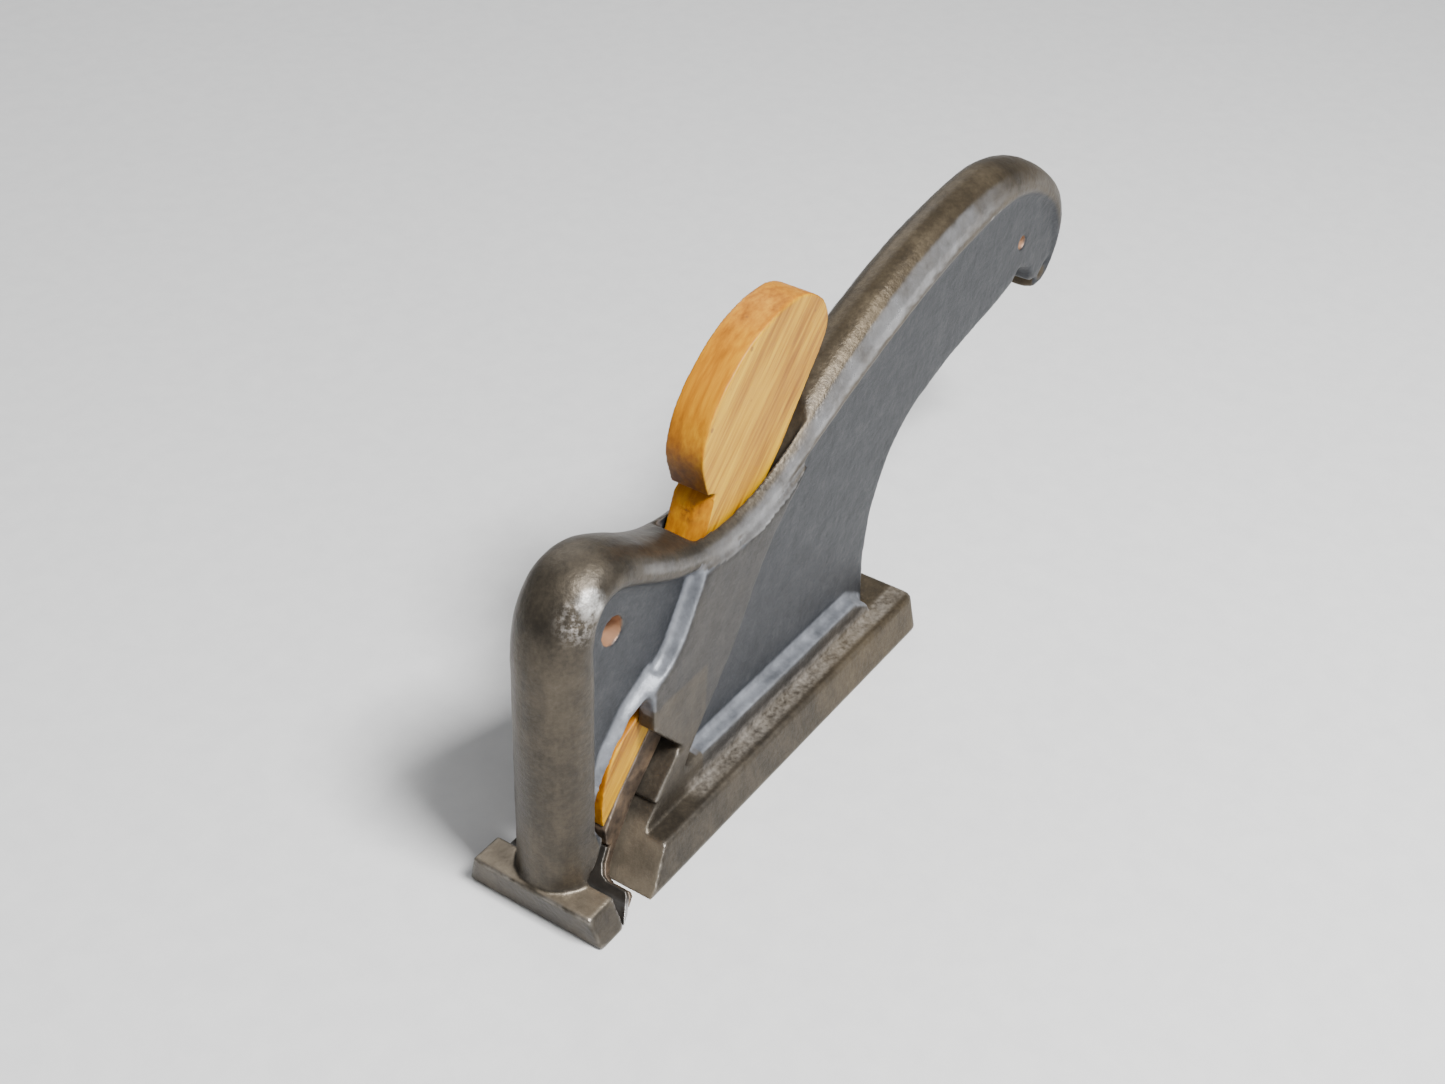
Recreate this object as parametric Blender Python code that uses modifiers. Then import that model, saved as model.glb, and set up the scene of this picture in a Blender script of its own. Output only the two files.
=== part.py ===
"""Coachmaker's T-rabbet plane: a cast body with a tail, a T-shaped iron and a boxwood wedge.

The side outlines are written as (distance behind the toe, height above the sole) in millimetres.
+X points to the toe, +Y to the user's left, +Z up. The origin is under the middle of the plane.
"""

import math

import bmesh
import bpy
from mathutils import Matrix, Vector

MM = 0.001
GAP = 0.3                     # clearance between touching pieces, mm
TOE_X = 89.0                  # X of the toe's front edge, mm

# Sole
SOLE_LENGTH = 110.0
SOLE_HALF_WIDTH = 14.4        # 28.6 mm across once the edges are eased, 1 1/8 in
LEDGE_HEIGHT = 7.1
FLANK_INSET = 2.1             # the flanks lean in by this much from the sole up to the ledge
TOE_UNDERCUT = 1.3            # the front face leans back towards the sole
TOE_REAR_TOP = 6.8
MOUTH_FRONT = 7.5             # sole level
HEEL_FRONT_TOP = 22.0
MOUTH_REAR = 15.5             # sole level
HEEL_REAR_UNDERCUT = 0.6
HEEL_CORNER_RADIUS = 2.2
REAR_EDGE_WITHIN = 1.0         # an edge this close to the heel's end is one of its rear edges
UPRIGHT_RISE = 2.0             # and it is an upright if it rises more than this
SOLE_EASING = 0.35
CUT_OVERLAP = 1.5             # the sole's bars are made this much long, and the throat cut trims them

# Body section, half thicknesses
BODY_HALF = 7.9
WEB_HALF = 4.9

# Bed and iron. Plates of the iron are drawn with their front face at zero and the bed below it
BED_ANGLE = math.radians(45)
EDGE_BEHIND_TOE = 7.9         # where the iron's front face meets the sole
EDGE_LIFT = 0.1               # the cutting edge rests this far above the sole plane
HEAD_THICKNESS = 3.5
STEEL_THICKNESS = 1.2         # steel laid on the front of the head
STEEL_LENGTH = 10.4
SHANK_RISE = 2.3              # the shank stands this far in front of the head
SHANK_START = 10.8            # along the bed, where the shank starts to rise from the head
SHANK_FULL = 12.7             # where it has its full thickness
SHANK_HALF_WIDTH = 3.8
IRON_LENGTH = 62.0
BEVEL_ANGLE = math.radians(30)
BED_DEPTH = 3.8               # the mortise's bed lies this far behind the iron's front face
CHEEK_DEPTH = 4.0             # the bed cheeks beside the mortise
RECESS_DEPTH = 5.0            # the sloping front of the heel, below the cheeks
BED_TOP = 31.2                # upper end of the bed cheeks, along the bed from the edge
BED_LIP = 20.4                # lower end of the bed cheeks
SLIT_WIDTH = 0.9              # saw cut across the top of the cheeks
SLIT_DEPTH = 5.6
SLOT_TOP = 66.5               # upper end of the iron's slot, along the bed
SLOT_STEP = 1.2               # above the iron the mortise ends this far behind its front face
MORTISE_REACH = 96.0          # the mortise cut runs this far along the bed, into open air
MORTISE_RISE = 10.0           # and stands this far off it

# Wedge
WEDGE_HALF = 3.8
WEDGE_EASING = 0.5

# Holes: behind the toe, above the sole, radius
NOSE_HOLE = (16.4, 54.1, 2.6)
TAIL_HOLE = (157.0, 65.0, 1.4)


def clear_scene():
    """Remove every object of the open scene."""
    for item in list(bpy.data.objects):
        bpy.data.objects.remove(item, do_unlink=True)


def new_collection(name):
    """Make a collection and link it to the scene."""
    group = bpy.data.collections.new(name)
    bpy.context.scene.collection.children.link(group)
    return group


def plain_material(name, colour, roughness, metallic):
    """Principled material with one colour."""
    material = bpy.data.materials.new(name)
    material.use_nodes = True
    shader = material.node_tree.nodes["Principled BSDF"]
    shader.inputs["Base Color"].default_value = (*colour, 1.0)
    shader.inputs["Roughness"].default_value = roughness
    shader.inputs["Metallic"].default_value = metallic
    return material


def side(behind, up, left=0.0):
    """World point, in metres, of a place given from the toe and the sole."""
    return Vector(((TOE_X - behind) * MM, left * MM, up * MM))


def add_mesh_object(name, mesh, group):
    """Link a mesh as a new object in a collection."""
    item = bpy.data.objects.new(name, mesh)
    group.objects.link(item)
    return item


def mesh_from_curve(item, group):
    """Turn a curve object into a welded mesh object of the same name."""
    name = item.name
    depsgraph = bpy.context.evaluated_depsgraph_get()
    mesh = bpy.data.meshes.new_from_object(item.evaluated_get(depsgraph))
    place = item.matrix_world.copy()
    bpy.data.objects.remove(item, do_unlink=True)
    shape = bmesh.new()
    shape.from_mesh(mesh)
    bmesh.ops.remove_doubles(shape, verts=shape.verts, dist=0.00001)
    bmesh.ops.recalc_face_normals(shape, faces=shape.faces)
    shape.to_mesh(mesh)
    shape.free()
    solid = add_mesh_object(name, mesh, group)
    solid.matrix_world = place
    return solid


def side_plate(name, outline, half_thickness, group, resolution=6):
    """Flat plate standing in the XZ plane. Each point is (behind, up) or (behind, up, 'smooth')."""
    curve = bpy.data.curves.new(name, "CURVE")
    curve.dimensions = "2D"
    curve.fill_mode = "BOTH"
    curve.extrude = half_thickness * MM
    curve.resolution_u = resolution
    spline = curve.splines.new("BEZIER")
    spline.bezier_points.add(len(outline) - 1)
    spline.use_cyclic_u = True
    for knot, point in zip(spline.bezier_points, outline):
        place = side(point[0], point[1])
        knot.co = (place.x, place.z, 0.0)
        kind = "AUTO" if len(point) > 2 else "VECTOR"
        knot.handle_left_type = kind
        knot.handle_right_type = kind
    item = bpy.data.objects.new(name, curve)
    group.objects.link(item)
    item.rotation_euler = (math.pi / 2, 0.0, 0.0)
    bpy.context.view_layer.update()
    return mesh_from_curve(item, group)


def boolean(target, operand, operation, cutters):
    """Join or cut with an operand that stays as a hidden wire object."""
    step = target.modifiers.new(operation.title() + "_" + operand.name, "BOOLEAN")
    step.operation = operation
    step.object = operand
    step.solver = "EXACT"
    for group in list(operand.users_collection):
        group.objects.unlink(operand)
    cutters.objects.link(operand)
    operand.hide_render = True
    operand.display_type = "WIRE"


def bevel(item, width, segments, angle=40):
    """Round the sharp edges of an object."""
    step = item.modifiers.new("Rounding", "BEVEL")
    step.width = width * MM
    step.segments = segments
    step.limit_method = "ANGLE"
    step.angle_limit = math.radians(angle)
    step.use_clamp_overlap = True
    return step


def smooth_line(knots, steps):
    """Points of a smooth line through the knots, whose tuples may hold any number of values."""
    padded = [knots[0]] + list(knots) + [knots[-1]]
    line = []
    for before, start, end, after in zip(padded, padded[1:], padded[2:], padded[3:]):
        for step in range(steps):
            t = step / steps
            point = []
            for a, b, c, d in zip(before, start, end, after):
                bend = (2 * a - 5 * b + 4 * c - d) * t * t + (3 * b - a - 3 * c + d) * t ** 3
                point.append(0.5 * (2 * b + (c - a) * t + bend))
            line.append(point)
    line.append(list(knots[-1]))
    return line


# Crest of the rim: (behind, up, half width, depth from the crest to the rim's side)
RIM_CREST = [
    (0.9, 2.6, 7.4, 7.2),
    (0.7, 28.0, 7.4, 7.2),
    (0.7, 48.0, 7.4, 7.2),
    (1.1, 56.0, 7.4, 6.6),
    (3.4, 62.8, 7.3, 5.8),
    (8.6, 68.0, 7.2, 5.0),
    (16.0, 69.2, 7.1, 4.6),
    (23.2, 66.6, 7.0, 4.4),
    (30.0, 62.7, 7.0, 4.2),
    (37.0, 59.6, 7.0, 4.0),
    (45.0, 58.0, 7.0, 4.0),
    (54.0, 58.2, 7.0, 4.0),
    (63.0, 60.6, 6.9, 4.2),
    (74.0, 65.8, 6.7, 5.0),
    (87.0, 72.0, 6.5, 6.2),
    (103.0, 78.5, 6.4, 7.2),
    (118.0, 82.8, 6.3, 7.3),
    (132.0, 85.0, 6.2, 7.0),
    (145.0, 85.6, 6.2, 6.2),
    (157.0, 82.9, 6.2, 5.0),
    (167.0, 77.7, 6.1, 4.5),
    (174.5, 71.4, 6.0, 4.4),
    (177.9, 63.0, 5.8, 4.0),
    (176.7, 54.7, 5.2, 3.0),
    (172.8, 49.6, 4.8, 2.2),
    (167.8, 48.8, 4.6, 1.8),
]
RIM_STEPS = 3
RIM_ARC = 8                   # segments across the rounded outside of the rim
RIM_SHOULDER = 1.3            # the rim's inner edges are eased by this much


def rim_section(half_width, depth):
    """Section of the rim as (left, inward) pairs: a half ellipse outside, eased edges inside."""
    ring = []
    for step in range(RIM_ARC + 1):
        turn = math.pi * (step / RIM_ARC - 0.5)
        ring.append((half_width * math.sin(turn), depth * (1 - math.cos(turn))))
    ring.append((half_width - RIM_SHOULDER * 0.3, depth + RIM_SHOULDER))
    ring.append((half_width - RIM_SHOULDER * 1.6, depth + RIM_SHOULDER * 1.8))
    ring.append((-half_width + RIM_SHOULDER * 1.6, depth + RIM_SHOULDER * 1.8))
    ring.append((-half_width + RIM_SHOULDER * 0.3, depth + RIM_SHOULDER))
    return ring


def make_rim(group):
    """Rounded outside of the casting, lofted from the toe over the nose and along the tail."""
    line = smooth_line(RIM_CREST, RIM_STEPS)
    shape = bmesh.new()
    rings = []
    for index, (behind, up, half_width, depth) in enumerate(line):
        ahead = line[min(index + 1, len(line) - 1)]
        back = line[max(index - 1, 0)]
        run = Vector((ahead[0] - back[0], ahead[1] - back[1])).normalized()
        inward = Vector((run.y, -run.x))
        ring = []
        for left, deep in rim_section(half_width, depth):
            place = side(behind + inward.x * deep, up + inward.y * deep, left)
            ring.append(shape.verts.new(place))
        rings.append(ring)
    for first, second in zip(rings, rings[1:]):
        for corner in range(len(first)):
            following = (corner + 1) % len(first)
            shape.faces.new((first[corner], first[following], second[following], second[corner]))
    shape.faces.new(rings[0])
    shape.faces.new(reversed(rings[-1]))
    bmesh.ops.recalc_face_normals(shape, faces=shape.faces)
    mesh = bpy.data.meshes.new("rim")
    shape.to_mesh(mesh)
    shape.free()
    return add_mesh_object("rim", mesh, group)


WEB_OUTLINE = [
    (6.5, 3.0),
    (6.5, 50.0),
    (7.5, 57.0),
    (11.0, 63.0),
    (16.5, 64.6),
    (22.0, 62.4),
    (29.0, 58.6),
    (37.0, 55.2),
    (46.0, 53.6),
    (55.0, 53.8),
    (64.0, 56.2),
    (76.0, 61.4),
    (88.0, 66.6),
    (104.0, 72.2),
    (120.0, 76.4),
    (134.0, 78.4),
    (146.0, 78.8),
    (156.0, 76.6),
    (164.0, 72.4),
    (170.0, 66.4),
    (173.0, 60.6),
    (171.8, 55.4),
    (168.4, 52.4),
    (164.6, 52.6),
    (162.4, 56.6, "smooth"),
    (157.6, 58.6),
    (155.4, 56.4),
    (148.0, 54.4, "smooth"),
    (139.0, 52.8, "smooth"),
    (124.0, 49.2, "smooth"),
    (111.0, 43.4, "smooth"),
    (103.6, 33.4, "smooth"),
    (100.9, 22.0, "smooth"),
    (101.4, 10.0, "smooth"),
    (102.6, 3.0),
]


def make_web(group):
    """Thin middle of the casting, inside the rim."""
    return side_plate("web", WEB_OUTLINE, WEB_HALF, group, resolution=5)


# Diagonal housing of the mortise, and the rail that runs back from its foot
HOUSING_OUTLINE = [
    (38.4, 53.6),
    (36.6, 50.0, "smooth"),
    (33.8, 45.4, "smooth"),
    (31.2, 41.9, "smooth"),
    (28.4, 39.4, "smooth"),
    (25.6, 38.2, "smooth"),
    (24.3, 36.8),
    (24.5, 28.0),
    (8.0, 14.0),
    (8.0, 2.0),
    (99.6, 2.0),
    (99.2, 9.0),
    (93.5, 12.6),
    (34.2, 12.8),
    (37.6, 18.0, "smooth"),
    (44.4, 26.0, "smooth"),
    (50.6, 34.2, "smooth"),
    (55.2, 42.0, "smooth"),
    (61.2, 49.6, "smooth"),
    (71.0, 57.4),
    (62.0, 54.6),
    (50.0, 52.5),
]


def make_housing(group):
    """Full-thickness part of the casting: the mortise's housing and the bottom rail."""
    return side_plate("housing", HOUSING_OUTLINE, BODY_HALF, group, resolution=5)


def flank_at(height):
    """Half width of the sole's flank at a height."""
    return SOLE_HALF_WIDTH - FLANK_INSET * height / LEDGE_HEIGHT


def sole_block(name, front_top, front_bottom, rear_top, rear_bottom, group):
    """Bar of the T sole between two sloping ends, from a box whose corners are moved."""
    shape = bmesh.new()
    bmesh.ops.create_cube(shape, size=2.0)
    for corner in shape.verts:
        upper = corner.co.z > 0
        rear = corner.co.x < 0
        height = LEDGE_HEIGHT if upper else 0.0
        half = flank_at(height)
        ends = (rear_top, rear_bottom) if rear else (front_top, front_bottom)
        behind = ends[0] if upper else ends[1]
        corner.co = side(behind, height, math.copysign(half, corner.co.y))
    mesh = bpy.data.meshes.new(name)
    shape.to_mesh(mesh)
    shape.free()
    return add_mesh_object(name, mesh, group)


def make_toe(group):
    """Toe foot in front of the mouth."""
    toe = sole_block(
        "toe_foot", 0.0, TOE_UNDERCUT, TOE_REAR_TOP + CUT_OVERLAP, MOUTH_FRONT + CUT_OVERLAP, group
    )
    bevel(toe, SOLE_EASING, 1)
    return toe


def make_heel(group):
    """Heel behind the mouth, with its rear corners rounded in plan."""
    heel = sole_block(
        "heel",
        HEEL_FRONT_TOP - CUT_OVERLAP,
        MOUTH_REAR - CUT_OVERLAP,
        SOLE_LENGTH,
        SOLE_LENGTH - HEEL_REAR_UNDERCUT,
        group,
    )
    shape = bmesh.new()
    shape.from_mesh(heel.data)
    rear_limit = side(SOLE_LENGTH - REAR_EDGE_WITHIN, 0.0).x
    uprights = []
    for edge in shape.edges:
        a, b = edge.verts
        if max(a.co.x, b.co.x) < rear_limit and abs(a.co.z - b.co.z) > UPRIGHT_RISE * MM:
            uprights.append(edge)
    bmesh.ops.bevel(
        shape, geom=uprights, offset=HEEL_CORNER_RADIUS * MM, segments=4, profile=0.5, affect="EDGES"
    )
    shape.to_mesh(heel.data)
    shape.free()
    bevel(heel, SOLE_EASING, 1)
    return heel


def bed_point(along, off=0.0):
    """(behind, up) of a point along the iron's front face from the edge, off it towards the toe."""
    cosine, sine = math.cos(BED_ANGLE), math.sin(BED_ANGLE)
    behind = EDGE_BEHIND_TOE + along * cosine - off * sine
    return behind, along * sine + off * cosine


# The first point is the tip and the last is where the back leaves the iron
WEDGE_OUTLINE = [
    (15.9, 11.3),
    (15.2, 14.5, "smooth"),
    (15.9, 20.3, "smooth"),
    (18.2, 25.2, "smooth"),
    (21.6, 27.6, "smooth"),
    (25.0, 29.4, "smooth"),
    (28.6, 33.4, "smooth"),
    (42.2, 55.0),
    (44.9, 61.8),
    (46.6, 63.2),
    (44.0, 64.3),
    (43.2, 66.4, "smooth"),
    (42.0, 71.0, "smooth"),
    (42.9, 75.8, "smooth"),
    (45.6, 80.3, "smooth"),
    (50.0, 84.4, "smooth"),
    (55.5, 87.9, "smooth"),
    (61.0, 89.7, "smooth"),
    (66.0, 90.4, "smooth"),
    (71.0, 90.0, "smooth"),
    (75.6, 87.9, "smooth"),
    (78.9, 84.4, "smooth"),
    (79.7, 80.8, "smooth"),
    (78.3, 77.4, "smooth"),
    (74.9, 73.0, "smooth"),
    (70.4, 67.2, "smooth"),
    (66.0, 62.0),
]


def make_wedge(group):
    """Boxwood wedge: taper, notch and leaf-shaped finial cut from one flat piece."""
    shank_front = bed_point(0.0, SHANK_RISE + GAP)
    slope_offset = shank_front[0] - shank_front[1]
    outline = list(WEDGE_OUTLINE)
    for end in (0, -1):
        up = WEDGE_OUTLINE[end][1]
        outline[end] = (slope_offset + up, up)
    wedge = side_plate("wedge", outline, WEDGE_HALF, group, resolution=4)
    bevel(wedge, WEDGE_EASING, 2, angle=60)
    slide_start = side(EDGE_BEHIND_TOE, EDGE_LIFT)
    drawn = wedge.matrix_world.to_3x3()
    wedge.data.transform(Matrix.Translation(drawn.inverted() @ -slide_start))
    wedge.location = slide_start
    return wedge


def lay_on_bed(item):
    """Stand a plate drawn in XY on the bed: Y runs up the bed from the edge, Z points to the toe."""
    up_bed = Vector((-math.cos(BED_ANGLE), 0.0, math.sin(BED_ANGLE)))
    off_bed = Vector((math.sin(BED_ANGLE), 0.0, math.cos(BED_ANGLE)))
    across = up_bed.cross(off_bed)
    turn = Matrix((across, up_bed, off_bed)).transposed().to_4x4()
    start = side(EDGE_BEHIND_TOE, EDGE_LIFT)
    item.matrix_world = Matrix.Translation(start) @ turn


# Half of the iron's outline from the edge up to where the shank is straight: (across, along)
HEAD_OUTLINE = [(13.9, 0.0), (11.9, 4.7), (11.3, 5.3), (7.4, 5.3), (6.1, 5.9), (5.2, 7.6), (4.6, 11.0)]
SHANK_STRAIGHT_FROM = 19.4


def plate_outline(length):
    """Outline of the iron in its own plane as (across, along), one corner at a time."""
    right = [corner for corner in HEAD_OUTLINE if corner[1] < length]
    if length > SHANK_STRAIGHT_FROM:
        right += [(SHANK_HALF_WIDTH, SHANK_STRAIGHT_FROM), (SHANK_HALF_WIDTH, length)]
    else:
        below, above = HEAD_OUTLINE[-2:]
        part = (length - below[1]) / (above[1] - below[1])
        right = [corner for corner in right if corner[1] <= below[1]]
        right.append((below[0] + (above[0] - below[0]) * part, length))
    left = [(-across, along) for across, along in reversed(right)]
    return right + left


def flat_plate(name, outline, back, front, group):
    """Flat plate from an outline, between two levels above the iron's front face."""
    curve = bpy.data.curves.new(name, "CURVE")
    curve.dimensions = "2D"
    curve.fill_mode = "BOTH"
    curve.extrude = (front - back) / 2 * MM
    spline = curve.splines.new("POLY")
    spline.points.add(len(outline) - 1)
    spline.use_cyclic_u = True
    for knot, (across, along) in zip(spline.points, outline):
        knot.co = (across * MM, along * MM, 0.0, 1.0)
    item = bpy.data.objects.new(name, curve)
    group.objects.link(item)
    bpy.context.view_layer.update()
    plate = mesh_from_curve(item, group)
    plate.data.transform(Matrix.Translation((0.0, 0.0, (front + back) / 2 * MM)))
    return plate


def block_cutter(name, low, high, cutters):
    """Box of space from two corners in the iron's own axes, in millimetres."""
    shape = bmesh.new()
    bmesh.ops.create_cube(shape, size=1.0)
    size = Vector(high) - Vector(low)
    bmesh.ops.scale(shape, verts=shape.verts, vec=size * MM)
    bmesh.ops.translate(shape, verts=shape.verts, vec=(Vector(low) + Vector(high)) / 2 * MM)
    mesh = bpy.data.meshes.new(name)
    shape.to_mesh(mesh)
    shape.free()
    return add_mesh_object(name, mesh, cutters)


def bevel_space(cutters):
    """Space behind the ground bevel, which runs from the edge back and up to the iron's back."""
    reach = IRON_LENGTH / 2
    space = block_cutter("bevel_space", (-reach, -reach, -reach), (reach, reach, 0.0), cutters)
    space.data.transform(Matrix.Rotation(-BEVEL_ANGLE, 4, "X"))
    return space


def make_iron(group, cutters):
    """T-shaped wrought iron with a thicker shank, and the steel laid on the front of its head."""
    front = SHANK_RISE
    iron = flat_plate("iron_shank", plate_outline(IRON_LENGTH), -HEAD_THICKNESS, front, group)
    wide = SOLE_HALF_WIDTH + CUT_OVERLAP
    low = -CUT_OVERLAP
    pocket_floor = -STEEL_THICKNESS - GAP
    pocket_top = STEEL_LENGTH + GAP
    ramp = block_cutter("ramp_space", (-wide, low, 0.0), (wide, SHANK_START, front + CUT_OVERLAP), cutters)
    for corner in ramp.data.vertices:
        if corner.co.y > 0 and corner.co.z > front * MM:
            corner.co.y = (SHANK_FULL + CUT_OVERLAP * (SHANK_FULL - SHANK_START) / front) * MM
    pocket = block_cutter(
        "steel_pocket", (-wide, low, pocket_floor), (wide, pocket_top, front + CUT_OVERLAP), cutters
    )
    steel = flat_plate("cutting_steel", plate_outline(STEEL_LENGTH), -STEEL_THICKNESS, 0.0, group)
    ground = bevel_space(cutters)
    boolean(iron, ramp, "DIFFERENCE", cutters)
    boolean(iron, pocket, "DIFFERENCE", cutters)
    boolean(iron, ground, "DIFFERENCE", cutters)
    boolean(steel, ground, "DIFFERENCE", cutters)
    for item in (steel, iron, ramp, pocket, ground):
        lay_on_bed(item)
    return steel, iron


def cut_mortise(body, cutters):
    """Tapered slot for the wedge and the iron, from the top of the body down to the throat."""
    outline = [
        bed_point(BED_LIP - CUT_OVERLAP, -BED_DEPTH),
        (16.0, 14.0),
        (14.0, 20.0),
        (17.0, 27.2),
        (19.5, 30.0),
        (30.0, 40.0),
        (41.9, 55.2),
        (38.4, 59.0),
        (38.4, 75.0),
        bed_point(MORTISE_REACH, MORTISE_RISE),
        bed_point(MORTISE_REACH, -SLOT_STEP),
        bed_point(SLOT_TOP, -SLOT_STEP),
        bed_point(SLOT_TOP, -BED_DEPTH),
    ]
    slot = side_plate("mortise", outline, WEDGE_HALF + GAP, cutters)
    boolean(body, slot, "DIFFERENCE", cutters)


def cut_throat(body, cutters):
    """Open throat across the whole width, between the toe foot and the heel."""
    outline = [
        (MOUTH_FRONT, -CUT_OVERLAP),
        (MOUTH_FRONT, 0.0),
        (TOE_REAR_TOP, LEDGE_HEIGHT),
        (9.5, 12.0, "smooth"),
        (10.9, 18.0, "smooth"),
        (12.3, 23.3, "smooth"),
        (13.7, 26.7, "smooth"),
        (16.1, 30.5, "smooth"),
        (19.7, 32.9, "smooth"),
        (23.9, 34.1),
        (24.4, 33.8),
        (24.6, 28.5),
        bed_point(BED_TOP, -SLIT_DEPTH),
        bed_point(BED_TOP - SLIT_WIDTH, -SLIT_DEPTH),
        bed_point(BED_TOP - SLIT_WIDTH, -CHEEK_DEPTH),
        bed_point(BED_LIP, -CHEEK_DEPTH),
        bed_point(BED_LIP, -RECESS_DEPTH),
        (HEEL_FRONT_TOP, LEDGE_HEIGHT),
        (MOUTH_REAR, 0.0),
        (MOUTH_REAR, -CUT_OVERLAP),
    ]
    throat = side_plate("throat", outline, SOLE_HALF_WIDTH + CUT_OVERLAP, cutters)
    boolean(body, throat, "DIFFERENCE", cutters)


def cut_hole(body, name, place, cutters):
    """Drilled hole through the web."""
    behind, up, radius = place
    shape = bmesh.new()
    depth = 4 * BODY_HALF * MM
    bmesh.ops.create_cone(
        shape, cap_ends=True, segments=24, radius1=radius * MM, radius2=radius * MM, depth=depth
    )
    mesh = bpy.data.meshes.new(name)
    shape.to_mesh(mesh)
    shape.free()
    drill = add_mesh_object(name, mesh, cutters)
    drill.rotation_euler = (math.pi / 2, 0.0, 0.0)
    drill.location = side(behind, up)
    boolean(body, drill, "DIFFERENCE", cutters)


def make_body(group, cutters):
    """Casting: rim, web, housing and sole joined, then the openings cut."""
    body = make_web(group)
    body.name = "plane_body"
    for part in (make_rim, make_housing, make_toe, make_heel):
        boolean(body, part(group), "UNION", cutters)
    cut_throat(body, cutters)
    cut_mortise(body, cutters)
    cut_hole(body, "nose_drill", NOSE_HOLE, cutters)
    cut_hole(body, "tail_drill", TAIL_HOLE, cutters)
    return body


def finish(item, material):
    """Give an object its material and smooth shading with sharp edges kept."""
    item.data.materials.clear()
    item.data.materials.append(material)
    item.data.shade_smooth()
    item.data.set_sharp_from_angle(angle=math.radians(35))


def main():
    """Build the plane."""
    clear_scene()
    group = new_collection("t_rabbet_plane")
    cutters = new_collection("cutters")
    bronze = plain_material("patinated_gunmetal", (0.10, 0.085, 0.065), 0.42, 0.9)
    boxwood = plain_material("boxwood", (0.62, 0.36, 0.12), 0.5, 0.0)
    wrought = plain_material("wrought_iron", (0.12, 0.10, 0.085), 0.6, 0.85)
    bright = plain_material("bright_steel", (0.6, 0.6, 0.6), 0.25, 1.0)
    finish(make_body(group, cutters), bronze)
    finish(make_wedge(group), boxwood)
    steel, iron = make_iron(group, cutters)
    finish(steel, bright)
    finish(iron, wrought)


main()
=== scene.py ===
"""Looks of the coachmaker's T-rabbet plane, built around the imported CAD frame.

Positions in the comments and constants are millimetres: behind the toe, left of the middle, up from
the sole. World X is TOE minus behind, Y is left and Z is up, in metres.
"""

import math

import bmesh
import bpy
import numpy as np
from mathutils import Matrix, Vector, noise


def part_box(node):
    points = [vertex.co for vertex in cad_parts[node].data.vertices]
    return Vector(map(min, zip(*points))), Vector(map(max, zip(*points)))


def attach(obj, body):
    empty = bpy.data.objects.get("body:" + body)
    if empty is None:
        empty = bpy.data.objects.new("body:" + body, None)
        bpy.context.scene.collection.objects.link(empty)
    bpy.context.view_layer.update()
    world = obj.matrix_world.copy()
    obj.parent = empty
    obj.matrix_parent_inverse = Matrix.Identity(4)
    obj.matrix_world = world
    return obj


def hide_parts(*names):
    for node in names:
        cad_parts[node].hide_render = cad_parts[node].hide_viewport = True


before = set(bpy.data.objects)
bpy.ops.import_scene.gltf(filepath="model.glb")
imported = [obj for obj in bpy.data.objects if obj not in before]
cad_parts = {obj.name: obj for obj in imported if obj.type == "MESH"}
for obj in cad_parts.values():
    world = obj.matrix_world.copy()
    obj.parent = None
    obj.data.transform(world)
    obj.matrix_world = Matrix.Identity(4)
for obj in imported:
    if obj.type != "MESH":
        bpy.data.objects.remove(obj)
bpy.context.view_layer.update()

MM = 0.001
TOE = 89.0                    # X of the toe's front edge, mm

# Camera, at the photograph's viewing angle
CAMERA_PLACE = (260.96, 142.09, 242.22)
CAMERA_AZIMUTH = 122.04
CAMERA_ELEVATION = 36.12
CAMERA_ROLL = 2.9
CAMERA_LENS = 47.38
SENSOR_WIDTH = 36.0

# Light: name, where it comes from, distance and size in metres, watts
SOFTBOXES = [
    ("key", (0.16, 0.53, 0.84), 0.75, 0.20, 16.0),
    ("fill", (0.45, 0.8, 0.4), 1.1, 0.9, 4.5),
    ("back", (-0.6, -0.8, 0.7), 1.1, 0.6, 3.0),
]
AIM = Vector((0.0, 0.0, 0.045))
SKY_COLOUR = (0.95, 0.97, 1.0, 1.0)
SKY_STRENGTH = 0.30
FLOOR_HALF = 30.0             # half the floor's width, metres
FLOOR_DROP = 0.05             # gap between the sole and the floor, mm

# Mesh detail: sizes in mm, and the number of smoothing passes
BODY_VOXEL = 0.42
CASTING_ROUNDS = 26
WEDGE_VOXEL = 0.34
WEDGE_ROUNDS = 3
IRON_VOXEL = 0.22
STEEL_VOXEL = 0.15
IRON_ROUNDS = 3
IRON_RELIEF = 0.05            # unevenness of the forged face
STEEL_RELIEF = 0.01

# Places on the casting, mm
LEDGE_UP = 7.1
NOSE_HOLE = (16.4, 54.1)
TAIL_HOLE = (157.0, 65.0)
MORTISE_HALF = 4.1

# Where one part of the casting gives way to the next, as the start and end of a fade, mm
COLUMN_BACK = (12.0, 20.0)
COLUMN_FOOT = (10.0, 14.0)
SOLE_TOP = (LEDGE_UP + 0.1, LEDGE_UP + 1.6)
CAST_FOOT = (LEDGE_UP, LEDGE_UP + 2.0)
THROAT_FRONT = (8.6, 10.0)
THROAT_BACK = (33.0, 35.0)
THROAT_TOP = (32.5, 35.0)
SLOT_SIDE = (MORTISE_HALF + 0.2, MORTISE_HALF + 1.2)
SLOT_FRONT = (38.0, 41.0)
SLOT_BACK = (72.0, 76.0)
SLOT_FOOT = (45.0, 50.0)

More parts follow.
